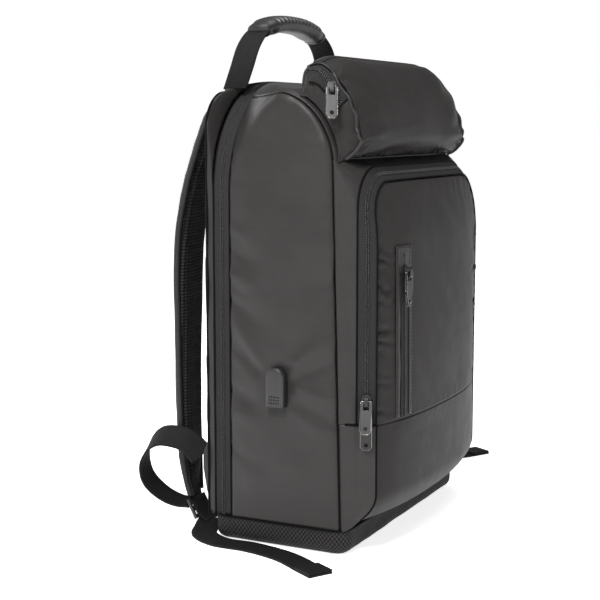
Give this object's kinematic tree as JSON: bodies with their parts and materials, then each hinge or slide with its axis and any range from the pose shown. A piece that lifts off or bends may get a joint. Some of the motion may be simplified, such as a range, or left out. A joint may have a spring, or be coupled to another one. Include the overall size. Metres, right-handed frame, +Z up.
{
  "type": "laptop backpack",
  "caption": "Upright laptop backpack in dark coated cloth: arched main compartment, roll-shaped top pouch, zipped front compartment with a welt pocket, padded straps, grip handle and webbing tails",
  "frame": {"origin": "on the floor under the bag, halfway across it and halfway through the depth of its main compartment", "axes": "+Z up, wearer's side towards +Y, pockets towards -Y, +X to the right when looking along +Y"},
  "size_m": [0.5203, 0.2779, 0.5106],
  "materials": {
    "coated_cloth": "satin charcoal coated polyester, fine weave",
    "base_cloth": "coarse dark twill",
    "zip_tape": "matte herringbone tape",
    "zip_coil": "fine black coil",
    "webbing": "dark ribbed webbing",
    "air_mesh": "black padded air mesh",
    "rubber": "satin moulded grip",
    "plastic": "moulded dark plastic",
    "metal": "polished gunmetal"
  },
  "bodies": {
    "bag": {"side_panel_left": "coated_cloth", "side_panel_right": "coated_cloth", "seam_piping_left": "webbing", "seam_piping_right": "webbing", "body_front_panel": "coated_cloth", "main_zip_front_tape": "zip_tape", "main_zip_coil": "zip_coil", "main_zip_back_tape": "zip_tape", "main_zip_slider": "metal", "back_rim": "coated_cloth", "back_panel": "coated_cloth", "back_pad_hip_left": "air_mesh", "back_pad_waist_left": "air_mesh", "back_pad_upper_left": "air_mesh", "back_pad_shoulder_left": "air_mesh", "back_pad_hip_right": "air_mesh", "back_pad_waist_right": "air_mesh", "back_pad_upper_right": "air_mesh", "back_pad_shoulder_right": "air_mesh", "base_tray": "base_cloth", "pocket_gusset": "coated_cloth", "pocket_zip_outer_tape": "zip_tape", "pocket_zip_coil": "zip_coil", "pocket_zip_inner_tape": "zip_tape", "pocket_side_lower_left": "coated_cloth", "pocket_side_lower_right": "coated_cloth", "pocket_upper_panel": "coated_cloth", "pocket_lower_panel": "coated_cloth", "welt_frame": "coated_cloth", "welt_zip_tape": "zip_tape", "welt_slider": "metal", "pouch_shell": "coated_cloth", "pouch_back": "coated_cloth", "pouch_zip_tape": "zip_tape", "pouch_zip_end_tape": "zip_tape", "pouch_end_left": "coated_cloth", "pouch_end_right": "coated_cloth", "pouch_slider": "metal", "pocket_upper_slider": "metal", "pocket_lower_slider": "metal", "handle_webbing_left": "webbing", "handle_webbing_right": "webbing", "handle_grip": "rubber", "shoulder_strap_left": "air_mesh", "shoulder_strap_right": "air_mesh", "wing_left": "coated_cloth", "wing_right": "coated_cloth", "lower_webbing_left": "webbing", "lower_webbing_right": "webbing", "tail_webbing_left": "webbing", "tail_webbing_right": "webbing", "ladder_lock_left": "plastic", "ladder_lock_right": "plastic", "usb_port_housing": "plastic"},
    "pocket_upper_pull": {"pocket_upper_puller": "metal"},
    "pocket_lower_pull": {"pocket_lower_puller": "metal"},
    "welt_pull": {"welt_puller": "plastic"},
    "pouch_pull": {"pouch_puller": "metal"}
  },
  "joints": [
    {"name": "pocket_upper_pull_hinge", "type": "hinge", "parent": "bag", "child": "pocket_upper_pull", "pos_m": [-0.14058, -0.08976, 0.1485], "axis": [-0.3328, 0.943, 0], "range_deg": [0, 126]},
    {"name": "pocket_lower_pull_hinge", "type": "hinge", "parent": "bag", "child": "pocket_lower_pull", "pos_m": [-0.14058, -0.08976, 0.1335], "axis": [-0.3328, 0.943, 0], "range_deg": [0, 35]},
    {"name": "welt_pull_hinge", "type": "hinge", "parent": "bag", "child": "welt_pull", "pos_m": [-0.09359, -0.11174, 0.26505], "axis": [-0.9879, 0.1551, 0], "range_deg": [0, 150]},
    {"name": "pouch_pull_hinge", "type": "hinge", "parent": "bag", "child": "pouch_pull", "pos_m": [-0.14617, -0.05665, 0.43456], "axis": [-0.4316, 0.9021, 0], "range_deg": [0, 146]}
  ]
}
